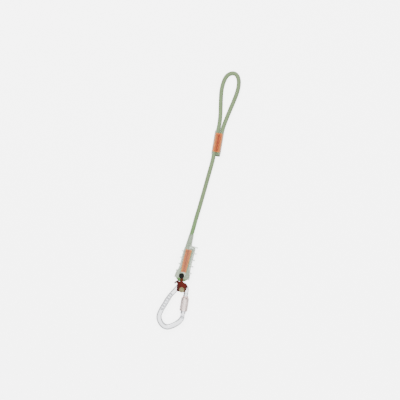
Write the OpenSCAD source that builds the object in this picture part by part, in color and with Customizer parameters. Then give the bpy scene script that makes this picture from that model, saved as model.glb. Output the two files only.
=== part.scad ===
// Short rope tether with two sewn terminations, a clear ribbed end sleeve,
// a red link with a sprung cam, and a screw-gate connector.
// Millimetres. It lies on z = 0 with the rope's loop towards +Y.

/* [View] */
// Node to show on its own

/* [Rope] */
// Rope diameter
rope_d = 9.5; // [8:0.5:11]
// Flats round the rope's section
rope_sides = 12; // [8:1:16]
// Thickness of the wrap round each pair of strands
wrap_t = 0.3; // [0.2:0.05:0.6]
// Wall of the heat-shrunk cover
shrink_t = 0.35; // [0.3:0.1:0.8]

/* [Link] */
// Lean of the link from the rope's line, degrees
link_angle = 14.4; // [0:0.2:20]
// Distance from the link pin to the cam axle
link_len = 31; // [30:0.5:34]
// Thickness of one side plate
plate_t = 1.9; // [1.5:0.1:2.5]
// Clear gap between the side plates
plate_gap = 12.2; // [12:0.1:13]
// Thickness of the low heads and nuts
head_t = 1.4; // [1:0.1:2]
// Link pin diameter
pin_d = 6; // [5:0.5:7]
// Outside diameter of the bush in the rope eye
bush_d = 8; // [8:0.5:9]
// Cam axle diameter
axle_d = 6; // [5:0.5:6]
// Running clearance on a radius
run = 0.05; // [0.02:0.01:0.08]

/* [Connector] */
// Thickness of the connector's bar, front to back
bar_t = 10.4; // [9:0.1:10.8]
// Width of the bar round the top bend
bar_w = 9.6; // [9:0.1:10]
// Inside radius of the top bend
bend_r = 6; // [6:0.1:7]
// Lean of the gate's line, degrees
gate_angle = 5; // [0:0.5:8]
// Gate barrel diameter
barrel_d = 11.2; // [10:0.1:12]
// Lock sleeve diameter
sleeve_d = 17.5; // [16:0.5:18]
// Lock sleeve length
sleeve_len = 30; // [24:1:32]
// Gate rivet diameter
rivet_d = 3.2; // [3:0.1:3.6]

/* [Hidden] */
$fn = 64;
rope_r = rope_d / 2;
// Height of the hardware's middle plane: the low heads stand on z = 0
mid = plate_gap / 2 + plate_t + head_t;
// Shift that puts the base centre of the whole at the origin
shift = [0, -172.9, 0];
// Link pin
px = 0.8;
py = 1.2;
// Cam axle, the centre of the connector's top bend
cx = px + link_len * sin(link_angle);
cy = py - link_len * cos(link_angle);
// Radius of the bar's middle line round the top bend
arch_r = bend_r + bar_w / 2;
// Gate hinge
gate_h = 60.4;
hx = cx + arch_r * cos(gate_angle) + gate_h * sin(gate_angle);
hy = cy + arch_r * sin(gate_angle) - gate_h * cos(gate_angle);

// ---- functions ----
function unit(v) = v / norm(v);
function arc(x, y, z, r, a0, a1, n) =
  [for (i = [0:n]) let (a = a0 + (a1 - a0) * i / n) [x + r * cos(a), y + r * sin(a), z]];
function tangent(p, i) = unit(p[min(i + 1, len(p) - 1)] - p[max(i - 1, 0)]);
// Rounded section of half sizes a and b, k points
function section(a, b, k, e) =
  [for (i = [0:k - 1]) let (t = 360 * i / k, c = cos(t), s = sin(t))
    [a * sign(c) * pow(abs(c), e), b * sign(s) * pow(abs(s), e)]];
// One ring of the sweep: u lies across the path in the XY plane, w is across both
function ring(p, t, s) =
  let (u = unit([t[1], -t[0], 0]), w = cross(u, t))
  [for (q = s) p + q[0] * u + q[1] * w];
function quads(n, k) =
  [for (i = [0:n - 2]) for (j = [0:k - 1]) for (h = [0, 1])
    let (a = i * k + j, b = i * k + (j + 1) % k, c = a + k, d = b + k)
    h == 0 ? [a, b, d] : [a, d, c]];

// A solid swept along path p; s[i] is the section at point i
module sweep(p, s) {
  k = len(s[0]);
  n = len(p);
  rings = [for (i = [0:n - 1]) each ring(p[i], tangent(p, i), s[i])];
  caps = [[for (j = [0:k - 1]) k - 1 - j], [for (j = [0:k - 1]) (n - 1) * k + j]];
  polyhedron(points = rings, faces = concat(quads(n, k), caps), convexity = 8);
}

// A coil spring about Z from z = 0 to z = h
module coil(r, wire, h, turns) {
  n = round(turns * 12);
  p = [for (i = [0:n]) let (a = 360 * turns * i / n)
    [r * cos(a), r * sin(a), wire + (h - 2 * wire) * i / n]];
  k = 8;
  rings = [for (i = [0:n]) let (a = 360 * turns * i / n)
    each [for (j = [0:k - 1]) let (b = 360 * j / k)
      p[i] + wire * cos(b) * [cos(a), sin(a), 0] + [0, 0, wire * sin(b)]]];
  caps = [[for (j = [0:k - 1]) j], [for (j = [0:k - 1]) n * k + k - 1 - j]];
  faces = concat([for (f = quads(n + 1, k)) [f[0], f[2], f[1]]], caps);
  polyhedron(points = rings, faces = faces, convexity = 10);
}

// Two circles and the flat between them
module stadium(w, r) {
  square([w, 2 * r], center = true);
  translate([-w / 2, 0]) circle(r);
  translate([w / 2, 0]) circle(r);
}

// A cylinder lying along +Y
module rod(r1, r2, h) {
  rotate([-90, 0, 0]) cylinder(r1 = r1, r2 = r2, h = h);
}

// Frames
module placed() {
  translate(shift) children();
}
module at_pin() {
  placed() translate([px, py, mid]) rotate([0, 0, link_angle]) children();
}
module at_axle() {
  at_pin() translate([0, -link_len, 0]) children();
}
module at_gate() {
  placed() translate([hx, hy, mid]) rotate([0, 0, gate_angle]) children();
}

// ---- rope ----
eye_r = 8.9;
strand = 9.6;
z_up = 5.85;
z_on = 4.75;
tail_low = [[9.5, 62, mid], [8.5, 54, mid], [8, 42, mid], [8.1, 30, mid], [8.4, 20, mid]];
flare_right = [[8.8, 16.4, mid], [10, 12.8, mid], [11.6, 9, mid], [12.5, 5.5, mid]];
eye_right = arc(px + 3, py + 0.8, mid, eye_r, 0, -90, 4);
eye_left = arc(px, py, mid, eye_r, -90, -180, 4);
flare_left = [[-7.6, 5.3, mid], [-5.8, 9, mid], [-3.4, 12.6, mid], [-1.7, 16, mid]];
lower_run = [[-1.2, 20, mid], [-1.5, 32, mid], [-1.85, 46, mid], [-2.1, 58, mid],
  [-1.7, 68, mid], [-0.9, 82, mid], [-0.2, 96, mid]];
main_run = [[0.5, 112, 8.7], [0.9, 130, 7.2], [1.8, 148, 5.8], [2.5, 165, 5],
  [3.1, 183, z_on], [3.9, 210, z_on], [4.6, 238, z_on], [5.2, 256, 5]];
upper_run = [[5.2, 269, z_up], [4.4, 280, z_up], [3.1, 291, z_up], [1.6, 308, z_up],
  [0.6, 326, z_up], [0.5, 339, z_up]];
loop_left = [[-0.3, 352, 5.1], [-3, 370, z_on], [-7, 388, z_on], [-10.6, 405, z_on],
  [-13.2, 420, z_on], [-13.9, 435, z_on], [-12.1, 449.5, z_on], [-7.5, 459, z_on]];
loop_right = [[0.3, 464.5, z_on], [8.5, 464.5, z_on], [15, 459, z_on],
  [19.2, 449.5, z_on], [21.1, 438, z_on], [21, 424, z_on], [19.2, 408, z_on],
  [16.6, 391, z_on], [13.8, 373, z_on], [11.4, 355, 5.1]];
tail_up = [[10.2, 341, z_up], [10.2, 326, z_up], [11.2, 308, z_up], [12.7, 291, z_up],
  [13.9, 279, z_up]];
rope_path = concat(tail_low, flare_right, eye_right, eye_left, flare_left, lower_run,
  main_run, upper_run, loop_left, loop_right, tail_up);

module rope() {
  s = section(rope_r, rope_r, rope_sides, 1);
  color("DarkSeaGreen") placed() sweep(rope_path, [for (q = rope_path) s]);
}

module rope_end_lower() {
  color("DimGray") placed() translate([9.5, 62.05, mid]) rotate([0, 0, -7])
    rod(4.7, 4.3, 2.2);
}

module rope_end_upper() {
  color("DimGray") placed() translate([13.91, 278.9, z_up]) rotate([0, 0, 5.7])
    rotate([90, 0, 0]) cylinder(r1 = 4.7, r2 = 4.3, h = 2.4);
}

// ---- sewn terminations ----
module band(w, r_in, t, h) {
  rotate([-90, 0, 0]) linear_extrude(h) difference() {
    stadium(w, r_in + t);
    stadium(w, r_in);
  }
}

// Rows of bar tacks on both faces, joined by the thread that goes through
module tacks(rows, pitch, w, r_face, lean) {
  for (i = [0:rows - 1]) translate([0, i * pitch, 0]) {
    for (s = [-1, 1]) translate([-w / 2, 0, s > 0 ? r_face : -r_face - 0.3])
      cube([w, 1.6, 0.3]);
    translate([0, 0.8, -r_face - 0.1]) cylinder(r = 0.5, h = 2 * r_face + 0.2);
  }
  translate([-1.5, 0, r_face]) rotate([0, 0, lean]) cube([3, (rows - 1) * pitch + 1, 0.15]);
}

// Middle line of the two lower strands
module lower_placed() {
  placed() translate([3.87, 9, mid]) rotate([0, 0, 1.4]) children();
}

// A tapered patch over both faces, folded round the long strand at its wide end
module lower_wrap() {
  color("SandyBrown") lower_placed() intersection() {
    band(strand, rope_r + 0.03, wrap_t, 52.5);
    translate([0, 0, -10]) linear_extrude(20)
      polygon([[-6.4, 0], [4.7, 0], [6.6, 52.5], [-11.6, 52.5], [-11.6, 46]]);
  }
}

// Middle line of the two upper strands: it leans a little
module upper_placed() {
  placed() translate([8.3, 286, z_up]) rotate([0, 0, 4.5]) children();
}

module upper_wrap() {
  color("SandyBrown") upper_placed() band(strand, rope_r + 0.03, wrap_t, 42);
}

module lower_stitching() {
  color("Chocolate") lower_placed() translate([-0.6, 1.4, 0])
    tacks(19, 2.6, 9.2, rope_r + 0.03 + wrap_t, 2);
}

module upper_stitching() {
  color("Chocolate") upper_placed() translate([0, 1, 0])
    tacks(16, 2.6, 11, rope_r + 0.03 + wrap_t, 0);
}

module upper_shrink() {
  color("Honeydew", 0.4) upper_placed() translate([0, -6, 0])
    band(strand, rope_r + 0.03 + wrap_t + 0.35, shrink_t, 54);
}

// ---- clear ribbed sleeve ----
module ribbed_sleeve() {
  color("Honeydew", 0.4) placed() difference() {
    union() {
      translate([0, 0, mid - 5.95]) linear_extrude(11.9) polygon([[-14.6, -4], [-14.4, 3],
        [-13.2, 8.5], [-10.4, 15], [-9.4, 22], [-9.3, 54], [-9, 59], [-7.8, 66],
        [-6, 69], [8, 70.5], [13.5, 70], [16, 68], [16.8, 62], [16.8, 22], [17.4, 14],
        [19, 7], [19.5, 2], [19.8, -5], [8, -5.5], [-6, -5]]);
      for (y = [9.1, 24.6, 39.1, 54.1]) translate([-12.2 - (y < 12 ? 2 : 0), y, mid - 4.6])
        cube([33.8 + (y < 12 ? 2.6 : 0), 2.4, 9.2]);
      translate([9, 68.2, mid - 4.6]) cube([12, 2.4, 9.2]);
      translate([-1.85, 62, mid]) rotate([0, 0, -2.6]) rod(6.9, 5.4, 33);
    }
    translate([0, 0, mid - 5.45]) linear_extrude(10.9) polygon([[-13.3, -20], [-13.3, 2],
      [-12.3, 7], [-9.6, 12.5], [-7.6, 17], [-7.4, 22], [-8.1, 54], [-7.7, 62],
      [-5.4, 66], [13, 66.6], [14.7, 64], [14.9, 24], [15.3, 16], [17, 9], [18.1, 2],
      [18.2, -20]]);
    translate([-1.95, 60, mid]) rotate([0, 0, -2.6]) rod(4.95, 4.95, 40);
    translate([px, py, -1]) cylinder(r = pin_d / 2 + 0.3, h = 30);
  }
}

module eye_bush() {
  color("Silver") at_pin() difference() {
    translate([0, 0, -5.4]) cylinder(d = bush_d, h = 10.8);
    translate([0, 0, -6]) cylinder(r = pin_d / 2 + run, h = 12);
  }
}

// ---- link ----
// An ear round the pin, a neck, and a body over the connector's top bend
ear = [for (i = [0:28]) let (a = 237 - 294 * i / 28) 5.2 * [cos(a), sin(a)]];
module plate_outline() {
  difference() {
    polygon(concat(ear, [[2.8, -15.1], [5.5, -16.1], [9.2, -18], [11.6, -20.5],
      [12.7, -23.3], [12.4, -25.6], [11.3, -28.3], [9.2, -32.4], [7.4, -35.4],
      [6.2, -36.5], [4.6, -36.9], [0, -36.2], [-5, -35.3], [-9.4, -34.4],
      [-10.6, -33.8], [-11.1, -32.5], [-10.9, -25.3], [-10.3, -18], [-9.9, -15.4],
      [-9.2, -14.7], [-7.5, -13.9], [-2.8, -13.5]]));
    circle(r = pin_d / 2 + 0.02);
    translate([0, -link_len]) circle(r = axle_d / 2 + 0.02);
  }
}

module link_plate_front() {
  color("FireBrick") at_pin() translate([0, 0, plate_gap / 2])
    linear_extrude(plate_t) plate_outline();
}

module link_plate_back() {
  color("FireBrick") at_pin() translate([0, 0, -plate_gap / 2 - plate_t])
    linear_extrude(plate_t) plate_outline();
}

// A bolt with a low head in front; its shank ends flush with the nut behind
module bolt(d, hd) {
  translate([0, 0, -mid + 0.1]) cylinder(d = d, h = 2 * mid - head_t - 0.1);
  translate([0, 0, mid - head_t]) cylinder(d = hd, h = head_t * 0.6);
  translate([0, 0, mid - head_t * 0.4]) cylinder(d1 = hd, d2 = hd - 1.6, h = head_t * 0.4);
}

module low_nut(d, hd) {
  difference() {
    translate([0, 0, -mid]) cylinder(d1 = hd - 1, d2 = hd, h = head_t);
    translate([0, 0, -mid - 1]) cylinder(r = d / 2 + 0.02, h = head_t + 2);
  }
}

module link_pin() {
  color("Black") at_pin() difference() {
    bolt(pin_d, 11.4);
    translate([0, 0, mid - 0.9]) cylinder(d = 3.5, h = 2, $fn = 6);
  }
}

module pin_nut() {
  color("Black") at_pin() low_nut(pin_d, 11.4);
}

module cam_axle() {
  color("DarkKhaki") at_axle() bolt(axle_d, 11.8);
}

module axle_nut() {
  color("DarkKhaki") at_axle() low_nut(axle_d, 11.8);
}

module cam() {
  color("Gray") at_axle() difference() {
    translate([0, 0, -plate_gap / 2 + 0.15]) linear_extrude(7.7) {
      circle(4.9);
      translate([0, 2.4]) circle(3.2);
      translate([-1.6, 1.6]) circle(3.2);
    }
    translate([0, 0, -8]) cylinder(r = axle_d / 2 + run, h = 16);
  }
}

module cam_spring() {
  color("SlateGray") at_axle() translate([0, 0, 1.9]) coil(4.2, 0.45, 3.3, 2.5);
}

// A flat arm under the front plate with a curved finger that stands up beside it
module trigger() {
  color("DarkRed") at_axle() difference() {
    union() {
      translate([0, 0, 5.3]) linear_extrude(0.65) {
        circle(5.2);
        rotate(118) translate([0, -2.4]) square([21, 4.8]);
      }
      rotate([0, 0, 108]) rotate_extrude(angle = 24) translate([19.6, 5.3])
        square([3.8, 3]);
      rotate([0, 0, 131]) translate([21.5, 0.8, 5.3]) cylinder(r = 1.8, h = 3);
    }
    translate([0, 0, -8]) cylinder(r = axle_d / 2 + run, h = 16);
  }
}

// ---- connector ----
nose_y = 54.5;
function on_gate(y) = [hx - y * sin(gate_angle), hy + y * cos(gate_angle), mid];
// Middle line of the bar from the nose to the gate hinge, with its widths
bar_start = [for (y = [nose_y, 57.5]) on_gate(y)];
bar_bend = arc(cx, cy, mid, arch_r, gate_angle, 162, 14);
bar_spine = [[-5.6, -34, mid], [-9.2, -40.5, mid], [-12.8, -47.5, mid], [-16, -56, mid],
  [-20.1, -69, mid], [-23.8, -81, mid], [-26, -91, mid], [-26.2, -97.5, mid],
  [-24.4, -103.7, mid], [-20.8, -109.2, mid], [-15.8, -113.9, mid], [-9.8, -117, mid]];
bar_basket = [[-3.6, -117.4, mid], [2, -115.6, mid], [8, -111.6, mid], [14, -106.6, mid],
  [19, -101, mid], [22.6, -95, mid], [24.2, -90.4, mid]];
bar_end = [for (y = [0, 2.4, 4, 5]) on_gate(y)];
bar_path = concat(bar_start, bar_bend, bar_spine, bar_basket, bar_end);
function bar_half(i) =
  let (n1 = len(bar_start) + len(bar_bend), n2 = n1 + len(bar_spine),
    n3 = n2 + len(bar_basket))
  i < n1 ? bar_w / 2 : i < n1 + 3 ? 5.2 : i < n2 - 4 ? 5.7 : i < n3 - 3 ? 5.9
    : i < n3 ? 5.5 : [5, 4.6, 3.8, 2.6][i - n3];

module connector_frame() {
  sections = [for (i = [0:len(bar_path) - 1]) section(bar_half(i), bar_t / 2, 20, 0.6)];
  color("WhiteSmoke") difference() {
    union() {
      placed() sweep(bar_path, sections);
      at_gate() translate([-2.6, 50.5, -1.6]) cube([6.2, 6, 3.2]);
      at_gate() translate([-2.6, 48.8, -3]) cube([6.2, 2.2, 6]);
    }
    for (s = [-1, 1]) placed() translate([-10.4, -44, mid + s * (bar_t / 2 + 0.8)])
      rotate([0, 0, -107.5]) translate([0, -2.3, -2.6]) cube([38, 4.6, 5.2]);
    at_gate() cylinder(r = 6.5, h = 6.8, center = true);
    at_gate() translate([-6.5, 0, -3.4]) cube([14, 16, 6.8]);
    at_gate() cylinder(r = rivet_d / 2 + 0.02, h = 30, center = true);
  }
}

module gate() {
  color("Gainsboro") at_gate() difference() {
    union() {
      translate([0, 8, 0]) rod(barrel_d / 2, barrel_d / 2, 39.5);
      translate([0, 47.5, 0]) rod(5.4, 5.4, 6.4);
      cylinder(r = 5, h = 6.4, center = true);
      translate([-5, 0, -3.2]) cube([10, 9, 6.4]);
    }
    cylinder(r = rivet_d / 2 + run, h = 20, center = true);
    translate([-3, -8, 0]) rod(1.2, 1.2, 22);
    translate([-3, 13, 0]) rod(2, 2, 21);
    translate([-3, 51.3, -1.8]) cube([12, 4, 3.6]);
    translate([-3, 47.7, -3.25]) cube([12, 3.65, 6.5]);
  }
}

module gate_rivet() {
  color("Silver") at_gate() {
    cylinder(d = rivet_d, h = bar_t + 0.6, center = true);
    for (s = [0, 1]) mirror([0, 0, s]) translate([0, 0, bar_t / 2 + 0.03])
      cylinder(d1 = 5.6, d2 = 4.4, h = 0.55);
  }
}

module gate_plunger() {
  color("Silver") at_gate() translate([-3, 0, 0]) {
    translate([0, -3.4, 0]) rod(1.1, 1.1, 16.5);
    translate([0, -3.4, 0]) sphere(r = 1.1);
    translate([0, 13.05, 0]) rod(1.85, 1.85, 2.2);
  }
}

module gate_spring() {
  color("Silver") at_gate() translate([-3, 15.35, 0]) rotate([-90, 0, 0])
    coil(1.4, 0.32, 18, 9);
}

module indicator_ring() {
  color("IndianRed") at_gate() translate([0, 44, 0]) difference() {
    rod(6.3, 6.3, 3.3);
    translate([0, -1, 0]) rod(barrel_d / 2 + run, barrel_d / 2 + run, 6);
  }
}

module lock_sleeve() {
  color("White") at_gate() translate([0, 13.8, 0]) difference() {
    union() {
      rod(7.6, sleeve_d / 2, 1.4);
      translate([0, 1.4, 0]) rod(sleeve_d / 2, sleeve_d / 2, sleeve_len - 3.6);
      translate([0, sleeve_len - 2.2, 0]) rod(sleeve_d / 2, 7.2, 2.2);
    }
    translate([0, -1, 0]) rod(barrel_d / 2 + 0.1, barrel_d / 2 + 0.1, 10);
    translate([0, 7, 0]) rod(6.55, 6.55, sleeve_len);
    for (a = [0:22.5:359]) rotate([0, a, 0]) translate([sleeve_d / 2 + 0.7, 4, 0])
      rod(1.3, 1.3, sleeve_len - 9, $fn = 24);
  }
}

rope();
rope_end_lower();
rope_end_upper();
lower_wrap();
upper_wrap();
lower_stitching();
upper_stitching();
upper_shrink();
ribbed_sleeve();
eye_bush();
link_plate_front();
link_plate_back();
link_pin();
pin_nut();
cam_axle();
axle_nut();
cam();
cam_spring();
trigger();
connector_frame();
gate();
gate_rivet();
gate_spring();
gate_plunger();
indicator_ring();
lock_sleeve();
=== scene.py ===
"""Rope tether with a sewn loop, a clear sleeved end, a red link and a screw-gate connector.

Every sub-assembly is a class: its sizes are dataclass fields in millimetres, and its methods
work out the surfaces with numpy and dress them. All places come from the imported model's frame.
"""

import logging
import math
from dataclasses import dataclass
from enum import Enum

import bpy
import numpy as np
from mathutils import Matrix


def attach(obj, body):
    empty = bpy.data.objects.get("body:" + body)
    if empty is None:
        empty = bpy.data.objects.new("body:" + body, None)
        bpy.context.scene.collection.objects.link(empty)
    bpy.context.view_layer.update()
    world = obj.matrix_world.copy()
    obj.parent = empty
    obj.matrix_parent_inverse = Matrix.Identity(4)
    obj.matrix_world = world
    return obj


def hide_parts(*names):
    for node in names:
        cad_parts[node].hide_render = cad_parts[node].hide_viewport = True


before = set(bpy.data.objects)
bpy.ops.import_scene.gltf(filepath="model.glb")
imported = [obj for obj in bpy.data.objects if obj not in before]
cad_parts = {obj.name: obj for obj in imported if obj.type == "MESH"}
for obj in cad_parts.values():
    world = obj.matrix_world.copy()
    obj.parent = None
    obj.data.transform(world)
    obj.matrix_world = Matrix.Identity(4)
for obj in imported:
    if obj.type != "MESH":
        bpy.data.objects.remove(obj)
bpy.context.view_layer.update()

LOG = logging.getLogger("tether")
MM = 0.001
# from the drawing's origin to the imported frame
SHIFT = np.array([0.0, -172.9, 0.0])
# height of the hardware's middle, of rope lying on the ground, and of the upper termination
MID = 9.4
LOW_Z = 4.75
UP_Z = 5.85
UP_LIFT = UP_Z - MID
TAU = 2 * math.pi
ROUND = 96
FIBRE_GLOSS = 0.15
FIBRE_IOR = 1.53
PLASTIC_IOR = 1.49


# ---------------------------------------------------------------- shapes


@dataclass
class Surface:
    """A grid of points, n rows by m columns, in row-frame millimetres.

    Attributes:
        points: Array n x m x 3.
        around: True where the last column joins the first.
        along: True where the last row joins the first.
        caps: True where the first and the last row are closed with a face each.
        scale: Millimetres of surface for one step of each index, for the UV map.
    """

    points: np.ndarray
    around: bool = True
    along: bool = False
    caps: bool = False
    scale: tuple = (1.0, 1.0)


@dataclass(frozen=True)
class Place:
    """A local frame on the part: its origin in millimetres and its turn about Z."""

    x: float
    y: float
    turn: float

    def out(self, points: np.ndarray) -> np.ndarray:
        """Local points to the row frame.

        Args:
            points: Array whose last axis is x, y, z in the local frame.

        Returns:
            The same points in row-frame millimetres.
        """
        c, s = math.cos(self.turn), math.sin(self.turn)
        turned = points @ np.array([[c, s, 0.0], [-s, c, 0.0], [0.0, 0.0, 1.0]])
        return turned + np.array([self.x, self.y, MID]) + SHIFT


LINK_TURN = math.radians(14.4)
GATE_TURN = math.radians(5.0)
LINK_LEN = 31.0
GATE_LEN = 60.4
BEND_R = 10.8
PIN = Place(0.8, 1.2, LINK_TURN)
AXLE = Place(
    PIN.x + LINK_LEN * math.sin(LINK_TURN), PIN.y - LINK_LEN * math.cos(LINK_TURN), LINK_TURN
)
GATE = Place(
    AXLE.x + BEND_R * math.cos(GATE_TURN) + GATE_LEN * math.sin(GATE_TURN),
    AXLE.y + BEND_R * math.sin(GATE_TURN) - GATE_LEN * math.cos(GATE_TURN),
    GATE_TURN,
)
FLAT = Place(0.0, 0.0, 0.0)


def arc(x: float, y: float, r: float, start: float, stop: float, count: int) -> np.ndarray:
    """Points round a circle's arc in the plane.

    Args:
        x: Centre across.
        y: Centre along.
        r: Radius.
        start: First angle, degrees.
        stop: Last angle, degrees.
        count: Number of points.

    Returns:
        Array count x 2: centre plus r times (cos, sin).
    """
    a = np.radians(np.linspace(start, stop, count))
    return np.stack([x + r * np.cos(a), y + r * np.sin(a)], axis=1)


def resample(points: np.ndarray, step: float) -> np.ndarray:
    """Points at even spacing on a smooth curve through the given ones.

    Each span is a Catmull-Rom cubic; the dense curve is then read at equal arc lengths.

    Args:
        points: Array n x d of route points.
        step: Spacing wanted.

    Returns:
        Array k x d.
    """
    p = np.vstack([2 * points[0] - points[1], points, 2 * points[-1] - points[-2]])
    t = np.linspace(0, 1, 24, endpoint=False)[None, :, None]
    a, b, c, d = (p[i : len(p) - 3 + i, None, :] for i in range(4))
    cubic = 0.5 * (
        2 * b + (c - a) * t + (2 * a - 5 * b + 4 * c - d) * t**2 + (3 * b - a - 3 * c + d) * t**3
    )
    dense = np.vstack([cubic.reshape(-1, points.shape[1]), points[-1:]])
    run = np.concatenate([[0], np.cumsum(np.linalg.norm(np.diff(dense, axis=0), axis=1))])
    at = np.linspace(0, run[-1], max(2, int(round(run[-1] / step)) + 1))
    return np.stack([np.interp(at, run, column) for column in dense.T], axis=1)


def lengths(path: np.ndarray) -> np.ndarray:
    """Arc length from the first point to each point of a path."""
    return np.concatenate([[0], np.cumsum(np.linalg.norm(np.diff(path, axis=0), axis=1))])


def sweep(path: np.ndarray, section: np.ndarray) -> np.ndarray:
    """A section carried along a path.

    At each point the section's first axis lies level across the path and its second is square
    to both, so point = path + s0 * across + s1 * up.

    Args:
        path: Array n x 3.
        section: Array n x m x 2, or m x 2 for the same section all along.

    Returns:
        Grid n x m x 3.
    """
    tangent = np.gradient(path, axis=0)
    tangent /= np.linalg.norm(tangent, axis=1, keepdims=True)
    across = np.cross(tangent, [0.0, 0.0, 1.0])
    across /= np.linalg.norm(across, axis=1, keepdims=True)
    up = np.cross(across, tangent)
    s = np.broadcast_to(section, (len(path),) + section.shape[-2:])
    return path[:, None] + s[..., :1] * across[:, None] + s[..., 1:] * up[:, None]


def superellipse(a: np.ndarray, b: np.ndarray, power: np.ndarray, count: int) -> np.ndarray:
    """Rounded-box sections: (a * sgn(cos) |cos|^p, b * sgn(sin) |sin|^p).

    Args:
        a: Half widths, one for each section.
        b: Half heights.
        power: Exponents; 1 is an ellipse and towards 0 a box.
        count: Points round a section.

    Returns:
        Array n x count x 2.
    """
    t = np.arange(count) * TAU / count
    c, s = np.cos(t)[None], np.sin(t)[None]
    a, b, power = (np.atleast_1d(np.asarray(v, float))[:, None] for v in (a, b, power))
    x = a * np.sign(c) * np.abs(c) ** power
    z = b * np.sign(s) * np.abs(s) ** power
    x, z = np.broadcast_arrays(x, z)
    return np.stack([x, z], axis=-1)


def stations(sections: np.ndarray, y: np.ndarray, lift: float = 0.0) -> np.ndarray:
    """Sections set up one after another along a frame's Y.

    Args:
        sections: Array n x m x 2, across and up.
        y: Where each stands.
        lift: Height added to all.

    Returns:
        Grid n x m x 3.
    """
    along = np.broadcast_to(y[:, None], sections.shape[:2])
    return np.stack([sections[..., 0], along, sections[..., 1] + lift], axis=-1)


def level(z: float, *points: tuple) -> list:
    """Points x, y at one height z."""
    return [(x, y, z) for x, y in points]


def fillet(points: np.ndarray, radius: float, count: int = 5) -> np.ndarray:
    """A closed outline with each corner replaced by a short parabola.

    Args:
        points: Array n x 2, corners in order.
        radius: How far from the corner the parabola starts, at most a third of the side.
        count: Points on each parabola.

    Returns:
        Array n*count x 2.
    """
    before, after = np.roll(points, 1, axis=0) - points, np.roll(points, -1, axis=0) - points
    lb, la = (np.linalg.norm(v, axis=1, keepdims=True) for v in (before, after))
    start = points + before / lb * np.minimum(radius, lb / 3)
    stop = points + after / la * np.minimum(radius, la / 3)
    t = np.linspace(0, 1, count)[None, :, None]
    curve = (1 - t) ** 2 * start[:, None] + 2 * t * (1 - t) * points[:, None] + t**2 * stop[:, None]
    return curve.reshape(-1, 2)


def lathe(profile: np.ndarray, place: Place, axis: str, steps: int, closed: bool) -> Surface:
    """A profile turned about an axis: (r cos a, r sin a) across it and h along it.

    Args:
        profile: Array n x 2 of radius and height.
        place: Local frame.
        axis: "Z" for a pin square to the part, "Y" for a piece along the gate.
        steps: Points round.
        closed: True for a ring whose profile is a closed outline.

    Returns:
        The turned surface in row-frame millimetres.
    """
    a = np.arange(steps) * TAU / steps
    r, h = profile[:, :1], np.repeat(profile[:, 1:], steps, axis=1)
    u, v = r * np.cos(a), r * np.sin(a)
    xyz = (u, v, h) if axis == "Z" else (u, h, v)
    grid = place.out(np.stack(xyz, axis=-1))
    return Surface(grid, along=closed, caps=not closed)


def make_piece(name: str, surfaces: list, smooth: bool = True) -> bpy.types.Object:
    """Puts surfaces into one mesh, faces outwards, with a UV map in millimetres.

    Quad (i, j) joins rows i, i+1 and columns j, j+1. The sign of the enclosed volume, the sum
    of a . (b x c) / 6 over the triangles, says whether the faces have to be turned.

    Args:
        name: The piece's name.
        surfaces: Surface objects.
        smooth: Whether faces are shaded smooth.

    Returns:
        The new object, at the origin.
    """
    points, corners, sizes, uvs, base = [], [], [], [], 0
    for s in surfaces:
        n, m = s.points.shape[:2]
        p = s.points * MM
        i, j = np.meshgrid(
            np.arange(n if s.along else n - 1), np.arange(m if s.around else m - 1), indexing="ij"
        )
        i, j = i.ravel()[:, None], j.ravel()[:, None]
        di, dj = np.array([[0, 0, 1, 1]]), np.array([[0, 1, 1, 0]])
        quad = ((i + di) % n) * m + (j + dj) % m
        uv = np.stack([(j + dj) * s.scale[1], (i + di) * s.scale[0]], axis=-1).reshape(-1, 2)
        faces = [quad.ravel()]
        count = [np.full(len(quad), 4)]
        maps = [uv]
        if s.caps:
            faces += [np.arange(m)[::-1], (n - 1) * m + np.arange(m)]
            count += [np.array([m, m])]
            maps += [np.zeros((2 * m, 2))]
        flat = p.reshape(-1, 3)
        a, b, c, d = (flat[quad[:, k]] for k in range(4))
        volume = np.einsum("ij,ij->", a, np.cross(b, c)) + np.einsum("ij,ij->", a, np.cross(c, d))
        if s.caps:
            for ring in (flat[:m][::-1], flat[(n - 1) * m :]):
                mid = ring.mean(axis=0)
                volume += np.einsum("j,ij->", mid, np.cross(ring, np.roll(ring, -1, axis=0)))
        index = np.concatenate(faces)
        amount = np.concatenate(count)
        uv = np.concatenate(maps)
        if volume < 0:
            ends = np.cumsum(amount)
            order = np.arange(len(index))
            start = np.repeat(ends - amount, amount)
            stop = np.repeat(ends, amount)
            order = start + stop - 1 - order
            index, uv = index[order], uv[order]
        points.append(flat)
        corners.append(index + base)
        sizes.append(amount)
        uvs.append(uv)
        base += len(flat)
    points, corners = np.concatenate(points), np.concatenate(corners)
    sizes, uvs = np.concatenate(sizes), np.concatenate(uvs)
    mesh = bpy.data.meshes.new(name)
    mesh.vertices.add(len(points))
    mesh.vertices.foreach_set("co", points.astype(np.float32).ravel())
    mesh.loops.add(len(corners))
    mesh.loops.foreach_set("vertex_index", corners.astype(np.int32))
    mesh.polygons.add(len(sizes))
    starts = np.concatenate([[0], np.cumsum(sizes)[:-1]])
    mesh.polygons.foreach_set("loop_start", starts.astype(np.int32))
    mesh.polygons.foreach_set("loop_total", sizes.astype(np.int32))
    mesh.polygons.foreach_set("use_smooth", np.full(len(sizes), smooth))
    mesh.update(calc_edges=True)
    layer = mesh.uv_layers.new(name="Surface")
    layer.data.foreach_set("uv", uvs.astype(np.float32).ravel())
    mesh.validate()
    piece = bpy.data.objects.new(name, mesh)
    bpy.context.scene.collection.objects.link(piece)
    return piece


def slab(outline: np.ndarray, low: float, high: float, place: Place) -> Surface:
    """A flat plate: the outline at two heights, joined at its edge and closed by two faces.

    Args:
        outline: Array n x 2.
        low: Lower height.
        high: Upper height.
        place: Local frame.

    Returns:
        The plate's surface.
    """
    rows = [np.column_stack([outline, np.full(len(outline), z)]) for z in (low, high)]
    return Surface(place.out(np.stack(rows)), caps=True)


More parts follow.
